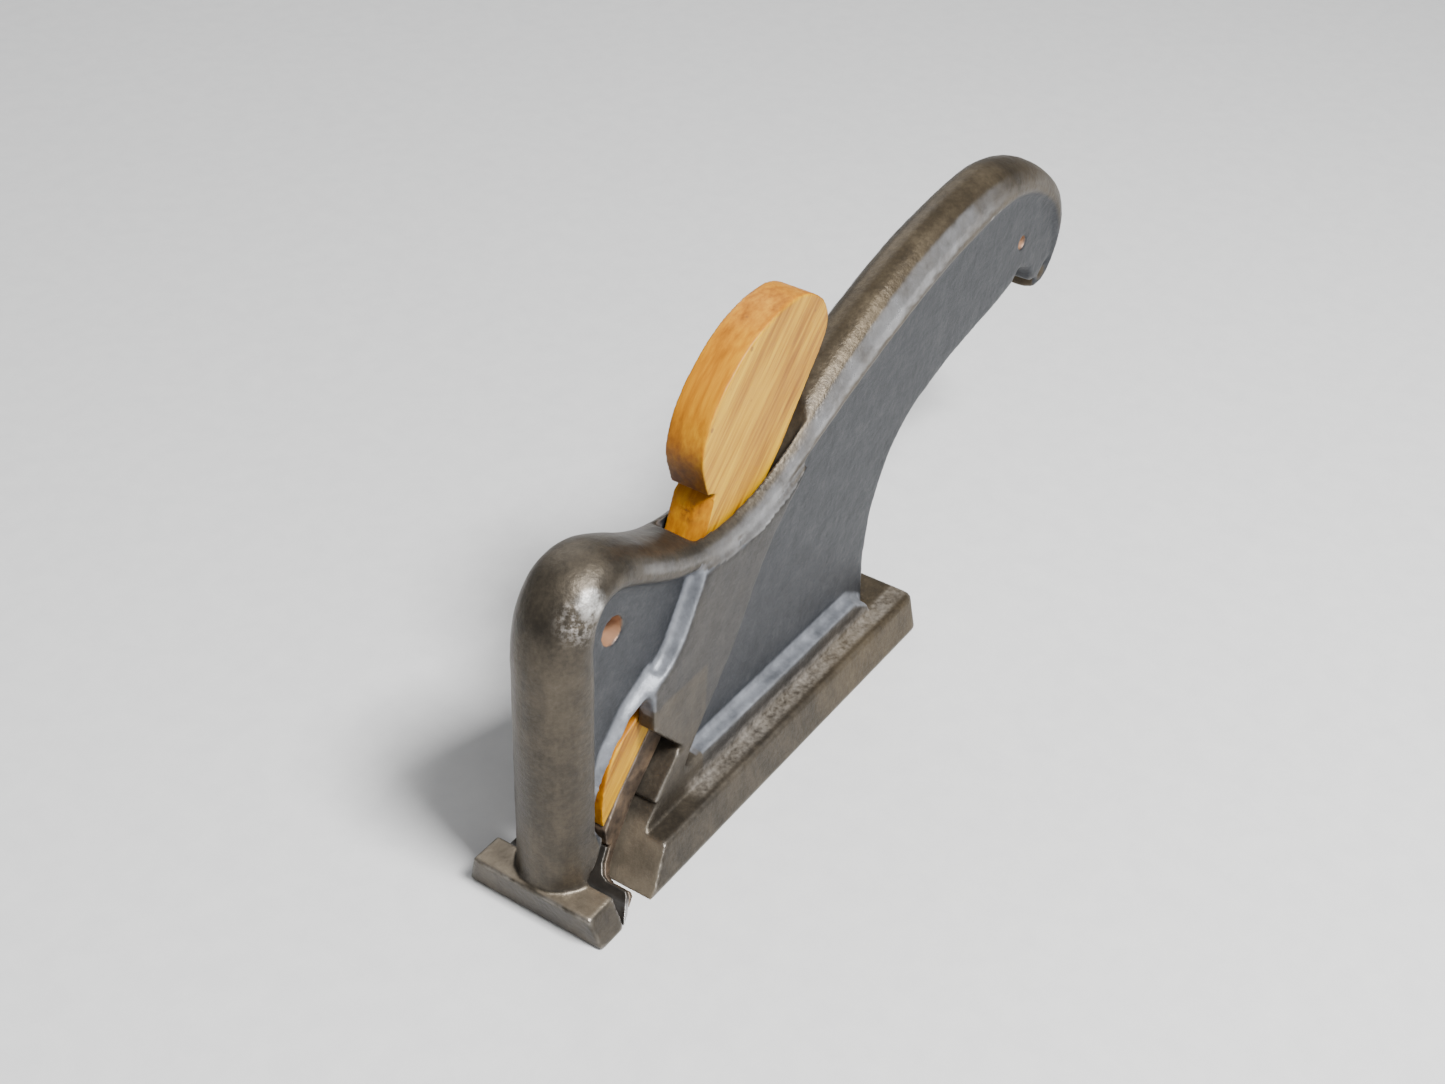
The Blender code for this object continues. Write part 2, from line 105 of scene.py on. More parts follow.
# How rounded the casting is, 0 to 1, and how much less at its crisp places
CAST_SOFTNESS = 0.42
COLUMN_SOFTER_BY = 0.58
SOLE_CRISP = 0.9
THROAT_CRISP = 0.82
SLOT_CRISP = 0.8
HOLE_CRISP = 0.95
NOSE_HOLE_RIM = 5.2           # how far from its axis a hole's rim is kept crisp
TAIL_HOLE_RIM = 3.4

# The cast skin: size of its features and how deep each goes
BROAD_SIZE = 9.0
FINE_SIZE = 2.2
GRAIN_SIZE = 1.1
BROAD_DEPTH = 0.10
FINE_DEPTH = 0.02
FINE_DEPTH_ON_SIDES = 0.07
GRAIN_DEPTH = 0.05
KNOCK_DEPTH = 0.30
SOLE_DEPTH = 0.015


# ---------------------------------------------------------------- mesh helpers

def remeshed_copy(node, name, voxel, add_to=None):
    """New object with a fine, even skin over the same shape as a CAD node, and over any solids added."""
    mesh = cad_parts[node].data.copy()
    shape = bmesh.new()
    shape.from_mesh(mesh)
    bmesh.ops.remove_doubles(shape, verts=shape.verts, dist=0.001 * MM)
    if add_to:
        add_to(shape)
    shape.to_mesh(mesh)
    shape.free()
    draft = bpy.data.objects.new(name + "_draft", mesh)
    bpy.context.scene.collection.objects.link(draft)
    step = draft.modifiers.new("Skin", "REMESH")
    step.mode = "VOXEL"
    step.voxel_size = voxel * MM
    bpy.context.view_layer.update()
    depsgraph = bpy.context.evaluated_depsgraph_get()
    skin = bpy.data.meshes.new_from_object(draft.evaluated_get(depsgraph))
    bpy.data.objects.remove(draft, do_unlink=True)
    skin.materials.clear()
    skin.name = name
    piece = bpy.data.objects.new(name, skin)
    bpy.context.scene.collection.objects.link(piece)
    return piece


def read_points(mesh):
    """Vertex positions in millimetres."""
    flat = np.zeros(len(mesh.vertices) * 3)
    mesh.vertices.foreach_get("co", flat)
    return flat.reshape(-1, 3) / MM


def write_points(mesh, points):
    """Put positions in millimetres back into a mesh."""
    mesh.vertices.foreach_set("co", (points * MM).ravel())
    mesh.update()


def read_normals(mesh):
    """Unit normal of each vertex."""
    flat = np.zeros(len(mesh.vertices) * 3)
    mesh.vertex_normals.foreach_get("vector", flat)
    return flat.reshape(-1, 3)


def read_edges(mesh):
    """Vertex pairs of the mesh's edges."""
    flat = np.zeros(len(mesh.edges) * 2, dtype=np.int64)
    mesh.edges.foreach_get("vertices", flat)
    return flat.reshape(-1, 2)


def neighbour_mean(values, edges):
    """Mean of each vertex's neighbours, for one or more columns."""
    first, second = edges[:, 0], edges[:, 1]
    count = np.bincount(edges.ravel(), minlength=len(values))[:, None]
    total = np.zeros_like(values)
    for column in range(values.shape[1]):
        one = values[:, column]
        total[:, column] = np.bincount(first, one[second], len(values))
        total[:, column] += np.bincount(second, one[first], len(values))
    return total / np.maximum(count, 1)


def relax(values, edges, weight, rounds):
    """Move values towards their neighbours' mean. Weight is 0 to 1 for each vertex."""
    pull = 0.5 * weight[:, None]
    for _ in range(rounds):
        values = values + pull * (neighbour_mean(values, edges) - values)
    return values


def ramp(values, start, end):
    """0 at start, 1 at end, smooth between."""
    t = np.clip((values - start) / (end - start), 0.0, 1.0)
    return t * t * (3.0 - 2.0 * t)


def near(points, behind, up, radius):
    """1 near a line across the plane at (behind, up), fading to 0 at the radius."""
    distance = np.hypot(TOE - points[:, 0] - behind, points[:, 2] - up)
    return 1.0 - ramp(distance, radius * 0.7, radius)


def inside(points, outline):
    """1 where a point, seen from the side, lies inside an outline of (behind, up) corners."""
    behind, up = TOE - points[:, 0], points[:, 2]
    within = np.zeros(len(points), dtype=bool)
    for (b1, u1), (b2, u2) in zip(outline, outline[1:] + outline[:1]):
        if u1 != u2:
            crossing = b1 + (up - u1) * (b2 - b1) / (u2 - u1)
            within ^= ((u1 > up) != (u2 > up)) & (behind < crossing)
    return within.astype(float)


def spot(points, behind, left, up, radius):
    """1 at a place on the near side, fading to 0 at the radius."""
    place = np.array((TOE - behind, left, up))
    return 1.0 - ramp(np.linalg.norm(points - place, axis=1), radius * 0.25, radius)


def fractal(points, size, seed):
    """Smooth noise between about -1 and 1 at each point, with features of the given size in mm."""
    shift = Vector((seed * 17.3, seed * 5.9, seed * 11.1))
    return np.array([noise.fractal(Vector(p) / size + shift, 0.9, 2.1, 3) for p in points])


def bend_of_surface(points, normals, edges, spread):
    """How sharply the surface turns, 1/mm: positive on outer edges, negative in corners."""
    lift = neighbour_mean(points, edges) - points
    step = np.linalg.norm(points[edges[:, 0]] - points[edges[:, 1]], axis=1).mean()
    bend = -(lift * normals).sum(axis=1, keepdims=True) / step ** 2
    return relax(bend, edges, np.ones(len(points)), spread)[:, 0]


def add_mask(mesh, name, values):
    """Store a number from 0 to 1 on each vertex for the material."""
    layer = mesh.attributes.new(name, "FLOAT", "POINT")
    layer.data.foreach_set("value", np.clip(values, 0.0, 1.0).astype(np.float32))


def wear_masks(piece, spread, sharp):
    """Masks for worn outer edges and for darkening in the concave corners."""
    mesh = piece.data
    bend = bend_of_surface(read_points(mesh), read_normals(mesh), read_edges(mesh), spread)
    add_mask(mesh, "worn", ramp(bend, sharp * 0.35, sharp))
    # Darker in the concave corners, by how sharply the surface turns inwards
    add_mask(mesh, "corner_dark", ramp(-bend, sharp * 0.2, sharp * 0.8))


def keep_inside(points, node):
    """Hold the points inside the CAD node's own box."""
    low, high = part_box(node)
    return np.clip(points, np.array(low) / MM, np.array(high) / MM)


# ---------------------------------------------------------------- the casting

# Raised ridge in front of the throat: its foot on the web, its crest and its inner edge, as
# (behind, up) each, and how far the crest stands from the middle of the plane
RIDGE = [
    ((26.1, 40.2), (27.0, 38.4), (25.2, 34.4), 7.7),
    ((21.8, 37.9), (22.6, 36.4), (22.0, 33.8), 7.1),
    ((17.6, 35.5), (19.1, 35.0), (18.2, 32.4), 6.9),
    ((13.7, 31.6), (15.4, 31.4), (15.2, 29.6), 6.7),
    ((11.2, 26.0), (12.4, 26.2), (12.6, 24.8), 6.2),
    ((9.6, 20.0), (10.5, 20.0), (10.9, 19.4), 5.5),
]
RIDGE_FOOT_LEFT = 4.7
RIDGE_BURIED_LEFT = 4.35


def add_ridges(shape):
    """Loft the ridge on both sides of the casting."""
    for side in (1.0, -1.0):
        rings = []
        for foot, crest, inner, crest_left in RIDGE:
            corners = [
                (foot, RIDGE_BURIED_LEFT),
                (foot, RIDGE_FOOT_LEFT),
                (crest, crest_left),
                (inner, RIDGE_FOOT_LEFT),
                (inner, RIDGE_BURIED_LEFT),
            ]
            ring = []
            for (behind, up), left in corners:
                ring.append(shape.verts.new(Vector((TOE - behind, side * left, up)) * MM))
            rings.append(ring)
        faces = [shape.faces.new(rings[0]), shape.faces.new(rings[-1])]
        for first, second in zip(rings, rings[1:]):
            for corner in range(len(first)):
                after = (corner + 1) % len(first)
                faces.append(shape.faces.new((first[corner], first[after], second[after], second[corner])))
        bmesh.ops.recalc_face_normals(shape, faces=faces)


def casting_softness(points):
    """How much each part of the casting is rounded: crisp at the sole, soft in the web."""
    behind = TOE - points[:, 0]
    left = np.abs(points[:, 1])
    up = points[:, 2]
    soft = np.full(len(points), CAST_SOFTNESS)
    soft += COLUMN_SOFTER_BY * (1.0 - ramp(behind, *COLUMN_BACK)) * ramp(up, *COLUMN_FOOT)
    sole = 1.0 - ramp(up, *SOLE_TOP)
    soft *= 1.0 - SOLE_CRISP * sole
    in_throat = ramp(behind, *THROAT_FRONT) * (1 - ramp(behind, *THROAT_BACK)) * (1 - ramp(up, *THROAT_TOP))
    soft *= 1.0 - THROAT_CRISP * in_throat
    in_mortise = 1.0 - ramp(left, *SLOT_SIDE)
    near_slot = ramp(behind, *SLOT_FRONT) * (1 - ramp(behind, *SLOT_BACK)) * ramp(up, *SLOT_FOOT)
    soft *= 1.0 - SLOT_CRISP * in_mortise * near_slot
    soft *= 1.0 - HOLE_CRISP * near(points, *NOSE_HOLE, NOSE_HOLE_RIM)
    soft *= 1.0 - HOLE_CRISP * near(points, *TAIL_HOLE, TAIL_HOLE_RIM)
    return soft


def casting_relief(points, normals):
    """Depth of the cast skin's unevenness, into the metal, in mm."""
    up = points[:, 2]
    flat_side = ramp(np.abs(normals[:, 1]), 0.5, 0.9)
    above_sole = ramp(up, *CAST_FOOT)
    broad = 0.5 + 0.5 * fractal(points, BROAD_SIZE, 1)
    fine = 0.5 + 0.5 * fractal(points, FINE_SIZE, 2)
    grain = 0.5 + 0.5 * fractal(points, GRAIN_SIZE, 3)
    knocks = KNOCK_DEPTH * most(points, ROUGH_SPOTS) * ramp(fine, 0.5, 0.8)
    cast = BROAD_DEPTH * broad + (FINE_DEPTH + FINE_DEPTH_ON_SIDES * flat_side) * fine
    cast += GRAIN_DEPTH * flat_side * grain
    return above_sole * (cast + knocks) + SOLE_DEPTH * fine


# Inner border of the rim, then back along the underside, the ledge and the column
RECESS_OUTLINE = [
    (9.2, 7.6), (9.2, 50.0), (9.8, 57.0), (12.0, 61.2), (16.5, 62.6), (22.0, 60.4), (29.0, 56.8),
    (37.0, 53.9), (46.0, 52.3), (55.0, 52.4), (64.0, 54.6), (76.0, 59.6), (88.0, 64.4), (104.0, 69.8),
    (120.0, 74.0), (134.0, 76.6), (145.0, 77.4), (155.0, 76.0), (163.0, 72.2), (169.0, 66.0),
    (171.4, 60.6), (170.4, 56.0), (166.0, 53.0), (150.0, 50.0), (106.0, 30.0), (106.0, 7.6),
]

# The sunk cheeks of the throat, behind the ridge
THROAT_OUTLINE = [
    (26.5, 33.0), (22.0, 32.4), (18.4, 31.0), (15.4, 28.0), (13.0, 24.0), (11.4, 18.5), (10.0, 7.0),
    (40.0, 7.0), (40.0, 33.0),
]


# Fades of the recess, mm, and how dark the housing's face and the throat are against the web
WEB_LEFT = (5.3, 6.0)
WEB_FRONT = (13.0, 15.0)
HOUSING_LEFT = (7.2, 7.7)
RECESS_FOOT = (LEDGE_UP + 0.6, LEDGE_UP + 1.6)
HOUSING_SHARE = 0.62
BELOW_HOUSING_SHARE = 0.38
THROAT_LIGHTER_BY = 0.85


def recess_mask(points, normals):
    """1 on the sunk sides of the web, part on the housing's face, 0 on the rim, column and sole."""
    left = np.abs(points[:, 1])
    sunk = (1.0 - ramp(left, *WEB_LEFT)) * ramp(TOE - points[:, 0], *WEB_FRONT)
    housing = HOUSING_SHARE + BELOW_HOUSING_SHARE * (1.0 - ramp(left, *HOUSING_LEFT))
    within = inside(points, RECESS_OUTLINE)
    above = ramp(points[:, 2], *RECESS_FOOT)
    facing = ramp(np.abs(normals[:, 1]), 0.2, 0.5) * (1.0 - ramp(normals[:, 2], 0.10, 0.30))
    outside_throat = 1.0 - THROAT_LIGHTER_BY * inside(points, THROAT_OUTLINE)
    return above * outside_throat * np.maximum(within * housing, sunk * facing)


# Along the rim the painted highlight grows in two steps and fades on the tail, mm
SHOULDER_HIGHLIGHT_STARTS = (18.0, 26.0)
SHOULDER_HIGHLIGHT_FULL = (34.0, 54.0)
SHOULDER_HIGHLIGHT_ENDS = (122.0, 150.0)
RIM_UP = (47.0, 52.0)


def shoulder_highlight_mask(points, normals):
    """1 on the rim's shoulders, where the top rolls over to the side: a painted highlight."""
    across = np.abs(normals[:, 1])
    rolled = ramp(across, 0.64, 0.84)
    behind = TOE - points[:, 0]
    along = 0.35 * ramp(behind, *SHOULDER_HIGHLIGHT_STARTS) + 0.65 * ramp(behind, *SHOULDER_HIGHLIGHT_FULL)
    along *= 1.0 - 0.9 * ramp(behind, *SHOULDER_HIGHLIGHT_ENDS)
    outside = 1.0 - inside(points, RECESS_OUTLINE)
    high = ramp(points[:, 2], *RIM_UP) * ramp(normals[:, 2], 0.02, 0.22)
    return rolled * outside * high * along


# The ridge in front of the throat and the wall above it
RIDGE_OUTLINE = [
    (7.0, 18.0), (12.0, 36.0), (22.0, 42.0), (40.0, 56.0), (42.0, 50.0), (28.0, 32.0), (14.0, 16.0),
]

# The step between the web and the housing's face, its front wall and the rail along the foot, mm
STEP_FOOT = (4.9, 5.4)
STEP_TOP = (7.9, 8.3)
WALL_FRONT = (22.0, 24.0)
WALL_TOP = (52.0, 54.0)
RAIL_TOP = (12.0, 14.0)
SHELF_SPREAD = 3              # edges of the mesh by which the painted sheen spreads over the web
WEB_SIDE = (6.6, 7.2)


def shelf_sheen_mask(points, normals):
    """1 on the rail's top and the housing's front wall, painted lighter than the web as a sheen where they
    face up.
    """
    left = np.abs(points[:, 1])
    step = ramp(left, *STEP_FOOT) * (1.0 - ramp(left, *STEP_TOP)) * inside(points, RECESS_OUTLINE)
    step *= 1.0 - inside(points, THROAT_OUTLINE)
    front_wall = ramp(TOE - points[:, 0], *WALL_FRONT) * (1.0 - ramp(points[:, 2], *WALL_TOP))
    rail = 1.0 - ramp(points[:, 2], *RAIL_TOP)
    highlight_places = np.maximum(np.maximum(front_wall, rail), inside(points, RIDGE_OUTLINE))
    facing = ramp(np.maximum(normals[:, 0] * front_wall, normals[:, 2]), -0.15, 0.25)
    return step * facing * highlight_places * (1.0 - ramp(np.abs(normals[:, 1]), 0.80, 0.97))


# How far from its axis a hole's painted light reaches, mm
NOSE_BORE_REACH = 4.6
TAIL_BORE_REACH = 2.6


def bore_light_mask(points, normals):
    """1 on the walls of the two drilled holes, where painted light colours them copper."""
    wall = 1.0 - ramp(np.abs(normals[:, 1]), 0.15, 0.40)
    nose = near(points, *NOSE_HOLE, NOSE_BORE_REACH)
    tail = near(points, *TAIL_HOLE, TAIL_BORE_REACH)
    return wall * np.maximum(nose, tail)


# Places with a painted highlight, and places knocked rough: behind, left, up, radius
HIGHLIGHT_SPOTS = [(9.2, 6.0, 64.4, 3.1), (138.0, 5.5, 78.0, 0.9), (141.4, 5.5, 78.2, 0.8)]
ROUGH_SPOTS = [
    (70.0, 5.5, 70.6, 6.5), (78.3, 5.5, 74.6, 7.5), (73.0, 0.0, 73.5, 8.0), (7.0, 5.0, 62.0, 4.8),
]


def most(points, spots):
    """Strongest of several spots at each point."""
    return np.max([spot(points, *place) for place in spots], axis=0)


def spread_out(values, edges, rounds):
    """Let a mask grow outwards by one edge of the mesh in each round."""
    for _ in range(rounds):
        grown = values.copy()
        np.maximum.at(grown, edges[:, 0], values[edges[:, 1]])
        np.maximum.at(grown, edges[:, 1], values[edges[:, 0]])
        values = grown
    return values


# Fades of the painted light on the sole, of the dusty line on its ledge and of the tail's colour, mm
SOLE_LIGHTER_TOP = (7.5, 9.5)
HEEL_STARTS = (14.0, 16.0)
HEEL_ENDS = (44.0, 46.0)
TOE_ENDS = (12.0, 14.0)
TOE_UP = (4.0, 5.0)
DUST_STARTS = (33.0, 37.0)
DUST_INNER = (6.6, 7.6)
DUST_OUTER = (10.2, 11.4)
DUST_FOOT = (LEDGE_UP - 0.4, LEDGE_UP)
DUST_TOP = (8.6, 10.2)
TAIL_COLOUR = (52.0, 95.0)


def sole_lighter_mask(points, normals):
    """1 on the heel's front face, at the mouth, and on the top of the toe: painted light on the heel's face,
    and the toe's top lighter.
    """
    behind = TOE - points[:, 0]
    on_sole = 1.0 - ramp(points[:, 2], *SOLE_LIGHTER_TOP)
    heel_front = ramp(normals[:, 0], 0.5, 0.8) * ramp(behind, *HEEL_STARTS) * (1.0 - ramp(behind, *HEEL_ENDS))
    toe_top = ramp(normals[:, 2], 0.7, 0.9) * (1.0 - ramp(behind, *TOE_ENDS)) * ramp(points[:, 2], *TOE_UP)
    return on_sole * np.maximum(heel_front, toe_top)


def ledge_line_mask(points):
    """1 along the foot of the casting, where it meets the heel's ledge."""
    left = np.abs(points[:, 1])
    heel = ramp(TOE - points[:, 0], *DUST_STARTS)
    at_foot = ramp(left, *DUST_INNER) * (1.0 - ramp(left, *DUST_OUTER))
    on_ledge = ramp(points[:, 2], *DUST_FOOT) * (1 - ramp(points[:, 2], *DUST_TOP))
    return at_foot * on_ledge * heel


def make_casting():
    """Body of the plane as one casting with softened edges and a slightly uneven skin."""
    piece = remeshed_copy("plane_body", "body_casting", BODY_VOXEL, add_ridges)
    mesh = piece.data
    edges = read_edges(mesh)
    points = read_points(mesh)
    points = relax(points, edges, casting_softness(points), CASTING_ROUNDS)
    write_points(mesh, points)
    normals = read_normals(mesh)
    points = points - normals * casting_relief(points, normals)[:, None]
    write_points(mesh, keep_inside(points, "plane_body"))
    points, normals = read_points(mesh), read_normals(mesh)
    wear_masks(piece, spread=4, sharp=0.40)
    add_mask(mesh, "recess", recess_mask(points, normals))
    # Painted highlight along the rim's shoulders
    add_mask(mesh, "shoulder_highlight", shoulder_highlight_mask(points, normals))
    # Painted sheen on the rail's top, the housing's front wall and the ridge, spread a little onto the web
    web_side = 1.0 - ramp(np.abs(points[:, 1]), *WEB_SIDE)
    shelf_sheen = shelf_sheen_mask(points, normals)
    add_mask(mesh, "shelf_sheen", np.maximum(shelf_sheen, web_side * spread_out(shelf_sheen, edges, SHELF_SPREAD)))
    # Painted light on the heel's front face at the mouth; the toe's top made lighter
    add_mask(mesh, "sole_lighter", sole_lighter_mask(points, normals))
    add_mask(mesh, "tail_rim", ramp(TOE - points[:, 0], *TAIL_COLOUR))
    # Painted light on the walls of the two drilled holes
    add_mask(mesh, "bore_light", bore_light_mask(points, normals))
    # Painted highlight spots: one on the nose's dome, small glints on the tail
    add_mask(mesh, "bright", most(points, HIGHLIGHT_SPOTS))
    add_mask(mesh, "rough", most(points, ROUGH_SPOTS))
    add_mask(mesh, "ledge_line", ledge_line_mask(points))
    return piece


# ---------------------------------------------------------------- wedge and iron

# Front of the wedge's stem, below the notch: up and behind at its foot and its top
STEM_UP = (55.0, 61.8)
STEM_FRONT = (42.2, 44.9)
FACET_FROM_LEFT = 0.4         # the pared facet starts here on the front
FACET_SLOPE = 0.32
FACET_WIDENS_BY = 0.9         # its start moves left by this much up to the notch
FACET_DEPTH = 1.4
FACET_REACH = 1.0             # how far in front of the stem's face it still cuts
FINIAL_UP = (63.0, 67.0)
FINIAL_HOLLOW = 0.06          # unevenness of the carved finial
FINIAL_SIZE = 11.0
STAIN_FOOT = (62.0, 64.0)
STAIN_TOP = (67.5, 74.0)
DARK_MARKS = [(43.4, 0.2, 59.8, 3.0), (75.1, 0.6, 87.4, 2.2)]     # behind, left, up, radius


def pare_stem(points):
    """Cut a slanting facet across the left front corner of the wedge's stem."""
    behind, left, up = TOE - points[:, 0], points[:, 1], points[:, 2]
    front = STEM_FRONT[0] + (up - STEM_UP[0]) * (STEM_FRONT[1] - STEM_FRONT[0]) / (STEM_UP[1] - STEM_UP[0])
    start = FACET_FROM_LEFT + FACET_WIDENS_BY * (up - STEM_UP[0]) / (STEM_UP[1] - STEM_UP[0])
    facet = front + FACET_SLOPE * (left - start)
    reach = ramp(up, STEM_UP[0] - 8.0, STEM_UP[0] - 3.0) * (up < STEM_UP[1] + 0.5)
    on_facet = (left > start) * (behind > front - FACET_REACH)
    short = np.clip(facet - behind, 0.0, FACET_DEPTH) * on_facet * reach
    pared = points.copy()
    pared[:, 0] -= short
    return pared


def make_wedge():
    """Boxwood wedge with worn, rounded arrises."""
    piece = remeshed_copy("wedge", "wedge_boxwood", WEDGE_VOXEL)
    mesh = piece.data
    edges = read_edges(mesh)
    points = pare_stem(read_points(mesh))
    finial = ramp(points[:, 2], *FINIAL_UP)
    points = relax(points, edges, 0.5 + 0.5 * finial, WEDGE_ROUNDS)
    write_points(mesh, points)
    normals = read_normals(mesh)
    hollow = FINIAL_HOLLOW * (0.5 + 0.5 * fractal(points, FINIAL_SIZE, 4)) * finial
    write_points(mesh, keep_inside(points - normals * hollow[:, None], "wedge"))
    normals = read_normals(mesh)
    wear_masks(piece, spread=3, sharp=0.6)
    add_mask(mesh, "edge_face", 1.0 - ramp(np.abs(normals[:, 1]), 0.35, 0.85))
    up = points[:, 2]
    underside = ramp(up, *STAIN_FOOT) * (1.0 - ramp(up, *STAIN_TOP))
    frontal = (1.0 - ramp(np.abs(normals[:, 1]), 0.5, 0.9)) * ramp(normals[:, 0], 0.1, 0.6)
    add_mask(mesh, "stain", underside * frontal)
    add_mask(mesh, "dark_mark", most(points, DARK_MARKS))
    return piece


FORGED_SIZE = 3.5             # size of the hammer's marks, mm
HONED_UP = (1.4, 3.0)         # the honed edge fades out here, mm


def make_iron_piece(node, name, voxel, relief, seed):
    """Part of the iron with a forged, slightly uneven face."""
    piece = remeshed_copy(node, name, voxel)
    mesh = piece.data
    edges = read_edges(mesh)
    points = read_points(mesh)
    points = relax(points, edges, np.ones(len(points)), IRON_ROUNDS)
    write_points(mesh, points)
    normals = read_normals(mesh)
    hammered = relief * (0.5 + 0.5 * fractal(points, FORGED_SIZE, seed))
    write_points(mesh, keep_inside(points - normals * hammered[:, None], node))
    wear_masks(piece, spread=2, sharp=0.8)
    return piece


def make_steel():
    """The laid steel, with a mask for its honed edge."""
    piece = make_iron_piece("cutting_steel", "iron_edge_steel", STEEL_VOXEL, STEEL_RELIEF, seed=7)
    up = read_points(piece.data)[:, 2]
    add_mask(piece.data, "honed", 1.0 - ramp(up, *HONED_UP))
    return piece


# ---------------------------------------------------------------- material helpers

class Paint:
    """Short names for the nodes of one material."""

    def __init__(self, name):
        self.material = bpy.data.materials.new(name)
        self.material.use_nodes = True
        self.tree = self.material.node_tree
        self.shader = self.tree.nodes["Principled BSDF"]
        place = self.tree.nodes.new("ShaderNodeTexCoord")
        self.place = place.outputs["Object"]

    def node(self, kind, **settings):
        """Add a node and set its own settings."""
        made = self.tree.nodes.new(kind)
        for key, value in settings.items():
            setattr(made, key, value)
        return made

    def link(self, source, target):
        """Join an output, or set a plain value, to an input."""
        if hasattr(source, "links"):
            self.tree.links.new(source, target)
        else:
            target.default_value = source

    def stretched(self, scale, turn=(0.0, 0.0, 0.0)):
        """Object coordinates turned and then scaled along each axis."""
        turned = self.node("ShaderNodeMapping")
        turned.inputs["Rotation"].default_value = turn
        self.link(self.place, turned.inputs["Vector"])
        scaled = self.node("ShaderNodeMapping")
        scaled.inputs["Scale"].default_value = scale
        self.link(turned.outputs["Vector"], scaled.inputs["Vector"])
        return scaled.outputs["Vector"]

    def noise(self, size, detail=4.0, roughness=0.55, where=None):
        """Noise with features of a size in mm."""
        made = self.node("ShaderNodeTexNoise")
        made.inputs["Scale"].default_value = 1.0 / (size * MM)
        made.inputs["Detail"].default_value = detail
        made.inputs["Roughness"].default_value = roughness
        self.link(where or self.place, made.inputs["Vector"])
        return made.outputs["Fac"]

    def pits(self, size, where=None):
        """Distance to the nearest of many scattered points, for pits and pores."""
        made = self.node("ShaderNodeTexVoronoi")
        made.inputs["Scale"].default_value = 1.0 / (size * MM)
        self.link(where or self.place, made.inputs["Vector"])
        return made.outputs["Distance"]

    def mask(self, name):
        """A number stored on the mesh."""
        return self.node("ShaderNodeAttribute", attribute_name=name).outputs["Fac"]

    def scaled(self, value, low, high, to_low=0.0, to_high=1.0):
        """Map low..high to another range, clamped."""
        made = self.node("ShaderNodeMapRange")
        self.link(value, made.inputs["Value"])
        for key, number in (("From Min", low), ("From Max", high), ("To Min", to_low), ("To Max", to_high)):
            made.inputs[key].default_value = number
        return made.outputs["Result"]

    def maths(self, operation, first, second):
        """One sum on two numbers."""
        made = self.node("ShaderNodeMath", operation=operation)
        self.link(first, made.inputs[0])
        self.link(second, made.inputs[1])
        return made.outputs["Value"]

    def times(self, first, second):
        """Product of two numbers."""
        return self.maths("MULTIPLY", first, second)

    def colours(self, value, stops):
        """Colour ramp from (position, colour) stops."""
        made = self.node("ShaderNodeValToRGB")
        elements = made.color_ramp.elements
        while len(elements) < len(stops):
            elements.new(0.5)
        for element, (position, colour) in zip(elements, stops):
            element.position = position
            element.color = (*colour, 1.0)
        self.link(value, made.inputs["Fac"])
        return made.outputs["Color"]

    def mix(self, amount, first, second):
        """Blend from the first colour to the second."""
        made = self.node("ShaderNodeMix", data_type="RGBA")
        self.link(amount, made.inputs[0])
        for source, socket in ((first, made.inputs[6]), (second, made.inputs[7])):
            self.link(source if hasattr(source, "links") else (*source, 1.0), socket)
        return made.outputs[2]

    def blend(self, amount, first, second):
        """Blend from the first number to the second."""
        made = self.node("ShaderNodeMix", data_type="FLOAT")
        self.link(amount, made.inputs[0])
        self.link(first, made.inputs[2])
        self.link(second, made.inputs[3])
        return made.outputs[0]

    def bump(self, height, depth, strength=1.0, onto=None):
        """Raise the surface by a height times a depth in mm."""
        made = self.node("ShaderNodeBump")
        made.inputs["Strength"].default_value = strength
        made.inputs["Distance"].default_value = depth * MM
        self.link(height, made.inputs["Height"])
        if onto:
            self.link(onto, made.inputs["Normal"])
        return made.outputs["Normal"]

    def finish(self, colour, roughness, metallic, normal):
        """Join the results to the shader."""
        self.link(colour, self.shader.inputs["Base Color"])
        self.link(roughness, self.shader.inputs["Roughness"])
        self.link(metallic, self.shader.inputs["Metallic"])
        self.link(normal, self.shader.inputs["Normal"])
        return self.material


# ---------------------------------------------------------------- materials

# Colours painted into the metal: the sheen on the rail, the highlights on the shoulders and spots, and the
# light on the sole and in the holes are painted light
CORNER_DARK_BLACK = (0.010, 0.009, 0.008)
SHELF_SHEEN_GREY = (0.260, 0.274, 0.302)
SHOULDER_HIGHLIGHT_GREY = (0.380, 0.382, 0.392)
WORN_METAL = (0.32, 0.295, 0.26)
SOLE_LIGHTER_BROWN = (0.290, 0.240, 0.175)
SPOT_HIGHLIGHT_WHITE = (0.80, 0.79, 0.76)
KNOCKED_METAL = (0.30, 0.28, 0.26)
DUST = (0.27, 0.245, 0.215)
BORE_LIGHT_COPPER = (0.42, 0.235, 0.135)
WOOD_STAIN = (0.060, 0.022, 0.006)
WOOD_MARK = (0.11, 0.036, 0.010)
WOOD_FLECK = (0.16, 0.060, 0.015)
WOOD_POLISH = (0.72, 0.42, 0.02)
WOOD_CORNER_DARK = (0.16, 0.070, 0.022)
RUBBED_IRON = (0.34, 0.31, 0.27)


